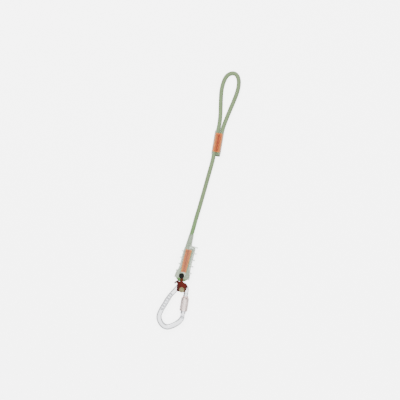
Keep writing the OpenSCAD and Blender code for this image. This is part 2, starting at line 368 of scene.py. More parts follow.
def soften(piece: bpy.types.Object, width: float, segments: int = 3) -> None:
    """Rounds a piece's sharp edges.

    Args:
        piece: The piece.
        width: Width of the rounding in millimetres.
        segments: Steps across it.
    """
    bevel = piece.modifiers.new("Edges", "BEVEL")
    bevel.width = width * MM
    bevel.segments = segments
    bevel.limit_method = "ANGLE"
    bevel.angle_limit = math.radians(35)
    bevel.harden_normals = True


def shell(piece: bpy.types.Object, wall: float) -> None:
    """Gives a surface a wall, inwards, of so many millimetres."""
    solid = piece.modifiers.new("Wall", "SOLIDIFY")
    solid.thickness = wall * MM
    solid.offset = -1


def carve(piece: bpy.types.Object, cutters: list) -> None:
    """Cuts other shapes out of a piece and removes them.

    Args:
        piece: The piece to cut.
        cutters: Objects to cut with.
    """
    for cutter in cutters:
        cut = piece.modifiers.new("Cut", "BOOLEAN")
        cut.operation = "DIFFERENCE"
        cut.solver = "EXACT"
        cut.object = cutter
    graph = bpy.context.evaluated_depsgraph_get()
    mesh = bpy.data.meshes.new_from_object(piece.evaluated_get(graph))
    piece.modifiers.clear()
    old, piece.data = piece.data, mesh
    bpy.data.meshes.remove(old)
    for cutter in cutters:
        bpy.data.objects.remove(cutter)
    mesh.name = piece.name


# ---------------------------------------------------------------- finishes


def linear(code: str) -> tuple:
    """An sRGB hex colour as linear red, green, blue and alpha.

    Args:
        code: Six hex digits.

    Returns:
        Four floats.
    """
    v = np.array([int(code[i : i + 2], 16) / 255 for i in (0, 2, 4)])
    v = np.where(v <= 0.04045, v / 12.92, ((v + 0.055) / 1.055) ** 2.4)
    return (*v.tolist(), 1.0)


@dataclass
class Graph:
    """A node tree in the making. A value in it is a pair: a node, and an output's key.

    Attributes:
        tree: The node tree.
        shader: The node whose inputs the values feed in the end.
    """

    tree: bpy.types.NodeTree
    shader: bpy.types.Node | None = None

    def add(self, kind: str, inputs: dict, output: int | str = 0, **settings: object) -> tuple:
        """Adds a node, sets it, and links or fills its inputs.

        Args:
            kind: The node's type, without its ShaderNode prefix.
            inputs: Socket name or index to a plain value, or to a pair to link.
            output: Name or index of the output wanted.
            **settings: The node's own properties.

        Returns:
            The node and the output's key.
        """
        node = self.tree.nodes.new("ShaderNode" + kind)
        for key, value in settings.items():
            setattr(node, key, value)
        for key, value in inputs.items():
            if isinstance(value, tuple) and isinstance(value[0], bpy.types.Node):
                self.tree.links.new(value[0].outputs[value[1]], node.inputs[key])
            else:
                node.inputs[key].default_value = value
        return node, output

    def maths(self, way: str, *values: object) -> tuple:
        """Works on values with one operation, such as "MULTIPLY"."""
        return self.add("Math", dict(enumerate(values)), operation=way)

    def remap(
        self, value: tuple, start: float, stop: float, low: object = 0.0, high: float = 1.0
    ) -> tuple:
        """A clamped straight line from low, at start, to high, at stop."""
        ends = {"From Min": start, "From Max": stop, "To Min": low, "To Max": high}
        return self.add("MapRange", {"Value": value, **ends}, "Result")

    def noise(self, place: tuple, scale: float, detail: float) -> tuple:
        """A noise texture at a place."""
        return self.add("TexNoise", {"Vector": place, "Scale": scale, "Detail": detail})

    def mix(self, share: float, first: tuple, second: tuple) -> tuple:
        """Two values mixed by a share of the second."""
        return self.add("Mix", {0: share, 2: first, 3: second}, data_type="FLOAT")

    def axes(self, vector: tuple) -> bpy.types.Node:
        """The node whose outputs X, Y and Z are a vector's parts."""
        return self.add("SeparateXYZ", {0: vector})[0]

    def feed(self, socket: str, value: tuple) -> None:
        """Links a value to one of the shader's inputs."""
        self.tree.links.new(value[0].outputs[value[1]], self.shader.inputs[socket])


@dataclass(frozen=True)
class Finish:
    """What every finish has: a name, two close colours and a range of roughness."""

    name: str
    light: str
    dark: str
    rough: tuple = (0.4, 0.6)

    def start(self, inputs: dict) -> tuple:
        """An empty material with its surface shader, and places in object space.

        Args:
            inputs: The shader's fixed inputs.

        Returns:
            The material, its graph and the places.
        """
        material = bpy.data.materials.new(self.name)
        material.use_nodes = True
        graph = Graph(material.node_tree)
        graph.tree.nodes.clear()
        graph.shader = graph.add("BsdfPrincipled", inputs)[0]
        graph.add("OutputMaterial", {"Surface": (graph.shader, "BSDF")})
        return material, graph, graph.add("TexCoord", {}, "Object")

    def lay(self, g: Graph, tone: tuple, wear: tuple, bumps: tuple, height: float) -> None:
        """Gives the surface its colour, roughness and relief, each by a value from 0 to 1.

        Args:
            g: The graph.
            tone: Mixes the two colours.
            wear: Runs through the range of roughness.
            bumps: Raises the surface.
            height: Millimetres for a value of one.
        """
        ramp = g.add("ValToRGB", {"Fac": tone}, "Color")
        ramp[0].color_ramp.elements[0].color = linear(self.dark)
        ramp[0].color_ramp.elements[1].color = linear(self.light)
        g.feed("Base Color", ramp)
        g.feed("Roughness", g.remap(wear, 0.0, 1.0, *self.rough))
        relief = {"Strength": 0.8, "Distance": height * MM, "Height": bumps}
        g.feed("Normal", g.add("Bump", relief, "Normal"))


@dataclass(frozen=True)
class Braid(Finish):
    """Woven polyamide: two sets of yarns cross over each other.

    The UV map runs in millimetres round and along. The weave is the larger of two ridges,
    sin(u + v) and sin(u - v), so each yarn stands up as a small lozenge.

    Attributes:
        around: Millimetres round for one turn of u.
        along: Millimetres along for one turn of v.
        height: Height of the yarns in millimetres.
        sheen: Weight of the soft edge of loose fibres.
        fleck: Colour of the tracer yarns; empty for none.
        fresh: What the colour is multiplied by near the hardware, where there are tracers.
    """

    around: float = 2.49
    along: float = 4.2
    height: float = 0.25
    sheen: float = 0.0
    fleck: str = ""
    fresh: tuple = (1.0, 1.0, 1.0, 1.0)

    def build(self) -> bpy.types.Material:
        """Builds the material.

        Returns:
            The material.
        """
        soft = {"Sheen Weight": self.sheen, "Sheen Roughness": 0.5}
        fibre = {"Specular IOR Level": FIBRE_GLOSS, "IOR": FIBRE_IOR}
        material, g, place = self.start(soft | fibre)
        uv = g.axes(g.add("UVMap", {}, "UV", uv_map="Surface"))
        u = g.maths("MULTIPLY", (uv, "X"), TAU / self.around)
        v = g.maths("MULTIPLY", (uv, "Y"), TAU / self.along)
        plus = g.maths("SINE", g.maths("ADD", u, v))
        minus = g.maths("SINE", g.maths("SUBTRACT", u, v))
        yarns = g.remap(g.maths("MAXIMUM", plus, minus), -0.9, 1.0)
        # filaments inside each yarn, about 0.3 mm apart
        worn = g.noise(place, 60.0, 4.0)
        mixed = g.mix(0.35, yarns, g.noise(place, 3200.0, 2.0))
        self.lay(g, g.mix(0.25, mixed, worn), worn, mixed, self.height)
        if self.fleck:
            # tracer yarns: one crossing in three carries a second colour
            slow = g.maths("MULTIPLY", v, 1 / 3)
            wave = g.maths("SINE", g.maths("MULTIPLY_ADD", u, 1 / 3, slow))
            keep = g.remap(g.maths("MULTIPLY", plus, minus), -0.2, 0.4)
            tracer = g.maths("MULTIPLY", g.remap(wave, 0.55, 0.8), keep)
            self.blend(g, tracer, linear(self.fleck), "MIX")
            # less handled near the hardware, so the dye is stronger there
            near = g.remap((g.axes(place), "Y"), 0.0, -0.13)
            self.blend(g, near, self.fresh, "MULTIPLY")
        return material

    def blend(self, g: Graph, by: tuple, colour: tuple, way: str) -> None:
        """Lays a second colour over the base colour by a value from 0 to 1.

        Args:
            g: The graph.
            by: The value.
            colour: The second colour.
            way: "MIX" or "MULTIPLY".
        """
        base = g.shader.inputs["Base Color"].links[0].from_socket
        mixed = g.add("Mix", {0: by, 7: colour}, 2, data_type="RGBA", blend_type=way)
        g.tree.links.new(base, mixed[0].inputs[6])
        g.feed("Base Color", mixed)


@dataclass(frozen=True)
class Metal(Finish):
    """A metal with fine tooling or blasting marks and a slow change of shine.

    Attributes:
        grain: Size of the marks in millimetres.
        pull: How much longer the marks are along Y than across.
        depth: Height of the marks in millimetres.
        metallic: 1 for bare metal, less where a coat covers it.
        gloss: Strength of the reflection where the surface isn't bare metal; 0.5 is plain.
    """

    grain: float = 0.4
    pull: float = 6.0
    depth: float = 0.01
    metallic: float = 1.0
    gloss: float = 0.5

    def build(self) -> bpy.types.Material:
        """Builds the material.

        Returns:
            The material.
        """
        bare = {"Metallic": self.metallic, "Specular IOR Level": self.gloss}
        material, g, place = self.start(bare)
        pulled = {"Vector": place, "Scale": (1.0, 1.0 / self.pull, 1.0)}
        marks = g.noise(g.add("Mapping", pulled), 1000.0 / self.grain, 3.0)
        slow = g.noise(place, 90.0, 3.0)
        self.lay(g, slow, g.mix(0.5, marks, slow), marks, self.depth)
        return material


@dataclass(frozen=True)
class Plastic(Finish):
    """Moulded or shrunk plastic: even colour, soft gloss and slight flow marks.

    Attributes:
        alpha: 1 for opaque, less for a clear wall seen square on.
        rim: The same where the wall is seen edge on.
        windows: Patches with an alpha of their own, clearer or milkier: middle x and y and
            half sizes x and y in metres, then the alpha.
        wave: Size of the flow marks in millimetres.
        depth: Their height in millimetres.
        fade: Width of a patch's soft edge in millimetres.
    """

    alpha: float = 1.0
    rim: float = 1.0
    windows: tuple = ()
    wave: float = 3.0
    depth: float = 0.05
    fade: float = 1.5

    def build(self) -> bpy.types.Material:
        """Builds the material.

        Returns:
            The material.
        """
        material, g, place = self.start({"IOR": PLASTIC_IOR})
        flow = g.noise(place, 1000.0 / self.wave, 4.0)
        self.lay(g, flow, flow, flow, self.depth)
        if self.alpha < 1.0:
            turn = g.add("LayerWeight", {"Blend": 0.5}, "Facing")
            clear = g.remap(turn, 0.0, 1.0, self.alpha, self.rim)
            at = g.axes(place)
            for x, y, half_x, half_y, own in self.windows:
                inside = []
                for axis, middle, half in (("X", x, half_x), ("Y", y, half_y)):
                    far = g.maths("ABSOLUTE", g.maths("SUBTRACT", (at, axis), middle))
                    inside.append(g.remap(far, half, half + self.fade * MM, 1.0, 0.0))
                clear = g.remap(g.maths("MULTIPLY", *inside), 0.0, 1.0, clear, own)
            g.feed("Alpha", clear)
        return material


class Look(Enum):
    """Every finish on the tether."""

    # matt polyamide sheath; the open weave gives a soft edge and a slight sheen
    SHEATH = Braid(
        "kernmantle sheath, woven",
        "92A67C",
        "48593A",
        (0.75, 0.95),
        fleck="6A9458",
        sheen=0.15,
        fresh=(0.62, 1.0, 0.6, 1.0),
    )
    # flat tape woven of thicker yarn
    TAPE = Braid(
        "polyester tape, woven", "F08A30", "C0601A", (0.7, 0.9), around=1.6, along=1.6, height=0.12
    )
    # twisted bonded thread, a little glossier than the tape
    THREAD = Braid(
        "bonded thread, twisted", "C04A0C", "8C3406", (0.7, 0.9), around=0.9, along=1.2, height=0.08
    )
    # melted polyamide: dark skin with shallow pits
    MELT = Plastic("polyamide, melted", "4A4038", "1E1815", (0.35, 0.6), wave=1.2, depth=0.2)
    # clear vinyl, a little milky, with moulding flow: clearer over the label, milkier at the foot
    SLEEVE = Plastic(
        "clear vinyl, moulded",
        "CEDAC4",
        "A4B498",
        (0.15, 0.35),
        alpha=0.4,
        rim=0.95,
        windows=((0.0028, -0.1375, 0.0064, 0.0252, 0.07), (-0.0105, -0.169, 0.0035, 0.009, 0.75)),
        wave=5.0,
        depth=0.08,
    )
    # thin clear film drawn tight by heat
    FILM = Plastic(
        "clear film, heat-shrunk",
        "E6EDE0",
        "C6D0BF",
        (0.12, 0.3),
        alpha=0.02,
        rim=0.8,
        wave=2.5,
        depth=0.12,
    )
    # dyed anodised skin: satin, the red varying slowly across the surface
    RED = Metal(
        "aluminium, red anodised",
        "601408",
        "360A03",
        (0.4, 0.55),
        grain=0.3,
        pull=1.0,
        depth=0.006,
        metallic=0.15,
        gloss=0.12,
    )
    # hot-blackened steel: dark, faint oil shine
    BLACK = Metal(
        "steel, black oxide", "0C0F0B", "040504", (0.5, 0.7), pull=1.0, metallic=0.0, gloss=0.15
    )
    # dark red enamel over pressed steel on the trigger; on the leg strips the same dark maroon is
    # painted shade
    MAROON = Metal(
        "maroon enamel and painted shade", "4A0E07", "240603", (0.35, 0.5), pull=1.0, metallic=0.0, gloss=0.15
    )
    # dull khaki steel
    KHAKI = Metal("steel, khaki", "958D66", "5F5A3E", (0.45, 0.65), 0.5, 1.0, 0.02, 0.7)
    # tumbled and polished forging: nearly white, soft reflections
    BRIGHT = Metal("aluminium, polished forging", "F4F5F7", "DDE0E4", (0.18, 0.34), 0.5, 3.0, 0.008)
    # turned bar: fine rings from the tool
    TURNED = Metal("aluminium, turned", "F6F6F8", "E2E3E7", (0.25, 0.4), 0.25, 1.0, 0.01)
    # the same, with a faint rose dye under its seal
    ROSE = Metal(
        "aluminium, turned and rose dyed", "FFF1EC", "F6DDD6", (0.3, 0.45), 0.25, 1.0, 0.01
    )
    # ground pin steel
    GROUND = Metal("steel, ground", "C9CBCE", "A9ACB0", (0.2, 0.35), 0.3, 5.0, 0.006)
    # drawn spring wire
    WIRE = Metal("spring steel, drawn", "8E9095", "66686D", (0.25, 0.4), 0.2, 5.0, 0.004)
    # painted warning band, faded to pink
    BAND = Plastic(
        "enamel band, faded red", "F6DCD6", "E8C0B8", (0.35, 0.5), wave=1.5, depth=0.02
    )


_BUILT: dict = {}


def dress(piece: bpy.types.Object, look: Look) -> None:
    """Gives a piece its finish, in every material slot it has.

    Args:
        piece: A new piece or a CAD node.
        look: The finish.
    """
    if look not in _BUILT:
        _BUILT[look] = look.value.build()
    if not piece.data.materials:
        piece.data.materials.append(_BUILT[look])
    for place in piece.material_slots:
        place.material = _BUILT[look]


def settle(piece: bpy.types.Object, body: str, look: Look, slot: str, *nodes: str) -> None:
    """Dresses a new piece and ties it to its body and the nodes it stands for.

    Args:
        piece: The piece.
        body: The CAD body it rides on.
        look: Its finish.
        slot: The record's material slot; not used.
        *nodes: CAD nodes it replaces.
    """
    dress(piece, look)
    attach(piece, body)
    if nodes:
        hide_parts(*nodes)
    LOG.info("%s: %d faces on %s", piece.name, len(piece.data.polygons), body)


# ---------------------------------------------------------------- rope


@dataclass
class Rope:
    """The one length of kernmantle rope, its sealed ends and its two sewn terminations."""

    diameter: float = 9.5
    spacing: float = 9.6
    sides: int = 56
    step: float = 0.75
    yarns: int = 12
    pick: float = 4.2
    relief: float = 0.14
    tape_r: float = 5.02
    tape_wall: float = 0.3
    film_r: float = 5.74
    path: np.ndarray | None = None

    def route(self) -> np.ndarray:
        """The rope's middle line: tail, pin eye, single strand, loop and tail.

        Returns:
            Array n x 3 in row-frame millimetres.
        """
        eye_right = arc(PIN.x + 3, PIN.y + 0.8, 8.9, 0, -90, 5)
        eye_left = arc(PIN.x, PIN.y, 8.9, -90, -180, 5)
        low = np.vstack(
            [
                [(9.5, 62), (8.5, 54), (8, 42), (8.1, 30), (8.4, 20), (8.8, 16.4), (10, 12.8)],
                [(11.6, 9), (12.5, 5.5)],
                eye_right,
                eye_left,
                [(-7.6, 5.3), (-5.8, 9), (-3.4, 12.6), (-1.7, 16), (-1.2, 20), (-1.5, 32)],
                [(-1.85, 46), (-2.1, 58), (-1.7, 68), (-0.9, 82), (-0.2, 96)],
            ]
        )
        low = np.column_stack([low, np.full(len(low), MID)])
        rest = [
            [(0.5, 112, 8.7), (0.9, 130, 7.2), (1.8, 148, 5.8), (2.5, 165, 5)],
            level(LOW_Z, (3.1, 183), (3.9, 210), (4.6, 238)),
            [(5.2, 256, 5)],
            level(UP_Z, (5.2, 269), (4.4, 280), (3.1, 291), (1.6, 308), (0.6, 326), (0.5, 339)),
            [(-0.3, 352, 5.1)],
            level(LOW_Z, (-3, 370), (-7, 388), (-10.6, 405), (-13.2, 420), (-13.9, 435)),
            level(LOW_Z, (-12.1, 449.5), (-7.5, 459), (0.3, 464.5), (8.5, 464.5), (15, 459)),
            level(LOW_Z, (19.2, 449.5), (21.1, 438), (21, 424), (19.2, 408), (16.6, 391)),
            level(LOW_Z, (13.8, 373)),
            [(11.4, 355, 5.1)],
            level(UP_Z, (10.2, 341), (10.2, 326), (11.2, 308), (12.7, 291), (13.9, 279)),
        ]
        path = resample(np.vstack([low, np.vstack(rest)]), self.step)
        for _ in range(12):
            path[1:-1] = (path[:-2] + 2 * path[1:-1] + path[2:]) / 4
        return path + SHIFT

    def strand(self) -> None:
        """Builds the rope as a tube whose radius follows the sheath's weave.

        With a the angle round and s the length along, the weave is the larger of
        sin(yarns * a + k s) and sin(yarns * a - k s), and the radius is r + relief * weave.
        """
        self.path = self.route()
        s = lengths(self.path)[:, None]
        a = (np.arange(self.sides) * TAU / self.sides)[None]
        k = TAU / self.pick
        weave = np.maximum(np.sin(self.yarns * a + k * s), np.sin(self.yarns * a - k * s))
        r = self.diameter / 2 - self.relief + self.relief * weave
        section = np.stack([r * np.cos(a), r * np.sin(a)], axis=-1)
        grid = sweep(self.path, section)
        scale = (s[1, 0], math.pi * self.diameter / self.sides)
        rope = make_piece("rope_strand", [Surface(grid, caps=True, scale=scale)])
        settle(rope, "tether", Look.SHEATH, "rope", "rope")

    def seal(self, name: str, index: int, depth: float) -> None:
        """Closes an end of the rope with a melted, slightly domed cap.

        The profile is a flat disc whose rim is rounded and whose face has shallow ripples.

        Args:
            name: CAD node that it replaces.
            index: 0 for the path's first end, -1 for its last.
            depth: Length of the cap.
        """
        end = self.path[index]
        out = end - self.path[index + 3 if index == 0 else index - 3]
        out /= np.linalg.norm(out)
        across = np.cross(out, [0.0, 0.0, 1.0])
        up = np.cross(across, out)
        r = np.concatenate([[4.5, 4.72, 4.74], 4.55 * np.cos(np.linspace(0.25, 1.5, 9))])
        h = np.concatenate([[-0.6, 0.0, depth * 0.55], depth * (0.7 + 0.3 * np.linspace(0, 1, 9))])
        a = np.arange(48) * TAU / 48
        lump = 1 + 0.025 * np.sin(3 * a + 0.7) + 0.015 * np.sin(7 * a)
        ring = r[:, None] * lump[None]
        pit = 0.12 * np.sin(5 * a)[None] * (r[:, None] / 4.7)
        grid = (
            end
            + (ring * np.cos(a))[..., None] * across
            + (ring * np.sin(a))[..., None] * up
            + (h[:, None] + pit)[..., None] * out
        )
        cap = make_piece(name + "_melt", [Surface(grid, caps=True)])
        settle(cap, "tether", Look.MELT, "sealed_end", name)

    def pair_section(self, r: float, valley: float, count: int) -> np.ndarray:
        """The outline round two strands side by side.

        x = spacing/2 * tanh(3 cos t) / tanh 3 + r cos t, z = r sin t, less a shallow valley
        exp(-(x / 2.6)^2) between the strands on both faces.

        Args:
            r: Radius round each strand.
            valley: Depth of the valley.
            count: Points round.

        Returns:
            Array count x 2.
        """
        t = np.arange(count) * TAU / count
        x = self.spacing / 2 * np.tanh(3 * np.cos(t)) / math.tanh(3) + r * np.cos(t)
        z = r * np.sin(t)
        z -= valley * np.exp(-((x / 2.6) ** 2)) * np.sign(z)
        return np.stack([x, z], axis=1)

    def face(self, x: np.ndarray, r: float) -> np.ndarray:
        """Height of a cover over the two strands at x from their middle.

        It is r over the strands, less a valley exp(-(x/2.6)^2) between them, and it drops as a
        circle past their middles.

        Args:
            x: Distances across.
            r: Height over the strands.

        Returns:
            Heights.
        """
        over = np.clip(np.abs(x) - self.spacing / 2, 0, r * 0.999)
        return np.sqrt(r**2 - over**2) - 0.5 * np.exp(-((x / 2.6) ** 2))

    def wrap(self, place: Place, run: float, lift: float) -> None:
        """The upper termination's tape, woven and closed round both strands.

        Args:
            place: Frame whose Y runs along the strands.
            run: Its length.
            lift: Height of its middle above the hardware's.
        """
        y = np.linspace(0, run, 90)
        section = self.pair_section(self.tape_r, 0.5, ROUND)
        flat = section[None] * (1 + 0.006 * np.sin(y * 1.9)[:, None, None])
        grid = place.out(stations(flat, y, lift))
        tape = make_piece("upper_tape", [Surface(grid, scale=(run / (len(y) - 1), 0.45))])
        shell(tape, self.tape_wall)
        settle(tape, "tether", Look.TAPE, "wrap", "upper_wrap")

    def patch(self, place: Place, run: float) -> None:
        """The lower termination's tape: a tapered patch sewn over both faces.

        Each face is a closed sheet between a slanted left edge, which reaches round the long
        strand at its wide end, and a right edge on the short strand.

        Args:
            place: Frame whose Y runs along the strands.
            run: Its length.
        """
        y = np.linspace(0, run, 80)[:, None]
        left = np.maximum(np.interp(y, [0, 46], [-6.4, -11.6]), -9.7)
        right = np.interp(y, [0, run], [4.7, 6.6])
        t = np.linspace(0, 1, 48)[None]
        x = left + (right - left) * t
        sheets = []
        for side in (-1, 1):
            top = self.face(x, 5.08) + 0.03 * np.sin(y * 1.9)
            both = np.concatenate([top, (top - self.tape_wall)[:, ::-1]], axis=1) * side
            across = np.concatenate([x, x[:, ::-1]], axis=1)
            along = np.broadcast_to(y, across.shape)
            grid = place.out(np.stack([across, along, both], axis=-1))
            sheets.append(Surface(grid, caps=True, scale=(run / (len(y) - 1), 0.3)))
        tape = make_piece("lower_tape", sheets)
        settle(tape, "tether", Look.TAPE, "wrap", "lower_wrap")

    def thread(self, where: str, place: Place, run: float, lift: float, edges: tuple) -> None:
        """The sewing on both faces: a wide zigzag, and a close narrow one down the middle.

        Each line is x = middle + half * triangle wave of y, laid on the tape's face height.

        Args:
            where: "lower" or "upper".
            place: Frame whose Y runs along the strands.
            run: Length of the tape.
            lift: Height of its middle above the hardware's.
            edges: Left and right limits at the start, then at the end.
        """
        ring = 0.3 * np.stack([np.cos(np.arange(8) * TAU / 8), np.sin(np.arange(8) * TAU / 8)], 1)
        lines = []
        for pitch, wide in ((1.9, True), (0.75, False)):
            turns = int((run - 3) / pitch)
            t = np.linspace(0, turns, turns * 20 + 1)
            along = 1.5 + t * pitch
            left = np.interp(along, [0, run], [edges[0], edges[2]])
            right = np.interp(along, [0, run], [edges[1], edges[3]])
            half = (right - left) / 2 if wide else 1.5
            swing = half * (1 - 4 * np.abs(t % 1 - 0.5))
            x = (left + right) / 2 + swing
            for side in (-1, 1):
                height = self.face(x, 5.17) + (0.0 if wide else 0.1)
                line = np.column_stack([x, along, side * height + lift])
                lines.append(Surface(sweep(place.out(line), ring), caps=True, scale=(0.55, 0.24)))
        piece = make_piece(where + "_thread", lines)
        settle(piece, "tether", Look.THREAD, "thread", where + "_stitching")

    def film(self, place: Place, lift: float) -> None:
        """The clear heat-shrunk cover of the upper termination.

        The section round the strands swells by small waves along it and draws in at both ends.

        Args:
            place: Frame whose Y runs along the strands.
            lift: Height of its middle above the hardware's.
        """
        y = np.linspace(-6, 48, 110)
        draw = 1 - 0.03 * np.exp(-((y + 6) / 2.0) ** 2) - 0.05 * np.exp(-((y - 48) / 3.0) ** 2)
        section = self.pair_section(self.film_r, 0.35, ROUND)
        wave = 1 + 0.006 * np.sin(y * 0.9) + 0.004 * np.sin(y * 2.3 + 1)
        flat = section[None] * (draw * wave)[:, None, None]
        cover = make_piece("upper_film", [Surface(place.out(stations(flat, y, lift)))])
        shell(cover, self.tape_wall)
        settle(cover, "tether", Look.FILM, "clear_shrink", "upper_shrink")

    def build(self) -> None:
        """Makes the rope and all that is sewn or shrunk on it."""
        self.strand()
        self.seal("rope_end_lower", 0, 2.2)
        self.seal("rope_end_upper", -1, 2.4)
        lower = Place(3.87, 9.0, math.radians(1.4))
        self.patch(lower, 52.5)
        self.thread("lower", lower, 52.5, 0.0, (-5.3, 3.9, -7.4, 5.4))
        upper = Place(8.3, 286.0, math.radians(4.5))
        self.wrap(upper, 42.0, UP_LIFT)
        self.thread("upper", upper, 42.0, UP_LIFT, (-5.6, 5.6, -5.6, 5.6))
        self.film(upper, UP_LIFT)


# ---------------------------------------------------------------- sleeve


@dataclass
class RibbedSleeve:
    """The clear moulded sleeve over the lower termination, and the bush in the rope's eye."""

    ribs: tuple = (10.3, 25.8, 40.3, 55.3, 69.2)
    wall: float = 1.1
    edge_y: tuple = (-5, 3, 9, 15, 22, 54, 60, 66, 70, 80, 95)
    edge_left: tuple = (-14.6, -14.3, -12.9, -10.4, -9.4, -9.2, -8.6, -7.6, -7.2, -6.4, -5.3)
    shoulder_y: tuple = (-5, 3, 9, 15, 22, 60, 66, 68.4, 69.6, 70.4, 80, 95)
    shoulder: tuple = (19.8, 19.4, 18.4, 17.3, 16.8, 16.8, 16.4, 15, 12.5, 6.9, 6.0, 5.4)

    def build(self) -> None:
        """Lofts rounded-box sections from the open foot to the round neck, and back inside.

        The left and right edges are read from two outlines; a rib pushes both out over 2.4 mm
        of length; the exponent grows from 0.36 in the body to 1 at the neck.
        """
        base = np.linspace(-5, 95, 160)
        edges = np.array([-1.5, -1.3, -1.05, 1.05, 1.3, 1.5])
        near = (np.array(self.ribs)[:, None] + edges).ravel()
        y = np.unique(np.concatenate([base, near, np.linspace(66, 72, 24)]))
        left = np.interp(y, self.edge_y, self.edge_left)
        right = np.interp(y, self.shoulder_y, self.shoulder)
        away = np.abs(y[:, None] - np.array(self.ribs)).min(axis=1)
        rib = np.clip((1.3 - away) / 0.2, 0, 1)
        foot = np.interp(y, [0, 20], [0.45, 1.0])
        top = y > 66
        out_left = left - rib * np.where(top, 0, 2.9) * foot
        out_right = right + rib * (21.2 - right) * np.where(y > 70.3, 0, 1)
        power = np.interp(y, [60, 71], [0.36, 1.0])
        high = np.interp(y, [60, 71, 95], [5.95, 6.5, 5.3])
        outer = self.loft(y, out_left, out_right, high, power)
        thin = np.interp(y, [60, 72, 95], [self.wall, 1.3, 0.5])
        low = high - np.minimum(thin, 0.6)
        inner = self.loft(y, left + thin, right - thin, low, power)[::-1]
        piece = make_piece("clear_sleeve", [Surface(np.vstack([outer, inner]), along=True)])
        settle(piece, "tether", Look.SLEEVE, "clear_sleeve", "ribbed_sleeve")
        dress(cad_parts["eye_bush"], Look.GROUND)

    def loft(
        self,
        y: np.ndarray,
        left: np.ndarray,
        right: np.ndarray,
        high: np.ndarray,
        power: np.ndarray,
    ) -> np.ndarray:
        """Rounded-box sections between a left and a right edge.

        Args:
            y: Stations.
            left: Left edges.
            right: Right edges.
            high: Half heights.
            power: Exponents of the sections.

        Returns:
            Grid n x ROUND x 3 in row-frame millimetres.
        """
        section = superellipse((right - left) / 2, high, power, ROUND)
        section[..., 0] += ((left + right) / 2)[:, None]
        return FLAT.out(stations(section, y))


# ---------------------------------------------------------------- link


@dataclass
class Link:
    """The red side plates, the pin, the cam axle, and the sprung cam with its trigger."""

    gap: float = 12.2
    plate: float = 1.9
    head: float = 1.4

    def outline(self) -> np.ndarray:
        """The side plate's outline: a round ear, a neck and a body with slanted sides."""
        ear = arc(0, 0, 5.2, 237, -57, 28)
        right = [(2.8, -7), (2.8, -15), (5.5, -16.1), (9.2, -18), (11.6, -20.5), (12.7, -23.3)]
        leg = [(12.4, -25.6), (11.3, -28.3), (9.2, -32.4), (7.4, -35.4), (6.2, -36.5), (4.6, -36.9)]
        foot = [(0, -36.2), (-5, -35.3), (-9.4, -34.4), (-10.6, -33.8), (-11.1, -32.5)]
        left = [(-10.9, -25.3), (-10.3, -18), (-9.9, -15.4), (-9.2, -14.7), (-7.5, -13.9)]
        return np.vstack([ear, right, leg, foot, left, [(-2.8, -13.5), (-2.8, -7)]])

    def plates(self) -> None:
        """Both side plates, with rounded edges, and dark raised strips on the front one's legs that
        paint the shade along the legs' edges.
        """
        for name, low in (("front", self.gap / 2), ("back", -self.gap / 2 - self.plate)):
            plate = make_piece(
                "red_plate_" + name, [slab(self.outline(), low, low + self.plate, PIN)], False
            )
            soften(plate, 0.45)
            settle(plate, "link", Look.RED, "red_anodised", "link_plate_" + name)
        # painted shade: dark maroon strips along the front plate's legs stand in for their shaded
        # edges
        left = [(-10.0, -18.2), (-7.2, -18.0), (-6.6, -27), (-6.5, -33), (-7, -34.6)]
        left = np.array(left + [(-10.2, -33.6), (-10.8, -32), (-10.6, -25.3)])
        right = [(12.3, -24.0), (8.9, -21.8), (7.0, -28), (6.4, -33), (5.6, -36.3), (7.2, -35.2)]
        right = np.array(right + [(9.0, -32.3), (11.1, -28.2)])
        top = self.gap / 2 + self.plate
        shade_slabs = [slab(fillet(v, 0.8), top - 0.1, top + 0.55, PIN) for v in (left, right)]
        shade_strips = make_piece("leg_shade_strips", shade_slabs, False)
        soften(shade_strips, 0.25)
        settle(shade_strips, "link", Look.MAROON, "red_anodised")

    def bolt(self, name: str, place: Place, look: Look, slot: str, head_d: float) -> None:
        """A low-headed pin: shank, then a head with a rounded rim and a shallow dish.

        Args:
            name: CAD node that it replaces.
            place: Its axis.
            look: Its finish.
            slot: The record's material slot.
            head_d: Head diameter.
        """
        top = MID
        r = head_d / 2
        rim = arc(r - 0.55, top - 0.55, 0.55, 0, 90, 7)
        dish = np.array([(r - 1.4, top), (r - 1.7, top - 0.12), (r - 2.0, top - 0.35)])
        inner = np.array([(r - 3.0, top - 0.42), (1.2, top - 0.3), (0.3, top - 0.25)])
        seat = top - self.head
        shank = [(2.4, -MID + 0.15), (2.97, -MID + 0.5), (2.97, seat - 0.1), (2.97, seat)]
        lip = [(r - 0.1, seat), (r, seat + 0.1)]
        profile = np.vstack([shank, lip, rim, dish, inner])
        pin = make_piece(name + "_turned", [lathe(profile, place, "Z", 64, False)])
        settle(pin, "link", look, slot, name)

    def build(self) -> None:
        """Makes the link and dresses the pieces that keep their CAD shape."""
        self.plates()
        self.bolt("link_pin", PIN, Look.BLACK, "black_steel", 11.4)
        self.bolt("cam_axle", AXLE, Look.KHAKI, "khaki_steel", 11.8)
        for node, look in (
            ("pin_nut", Look.BLACK),
            ("axle_nut", Look.KHAKI),
            ("cam", Look.GROUND),
            ("cam_spring", Look.WIRE),
            ("trigger", Look.MAROON),
        ):
            dress(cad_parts[node], look)


# ---------------------------------------------------------------- connector


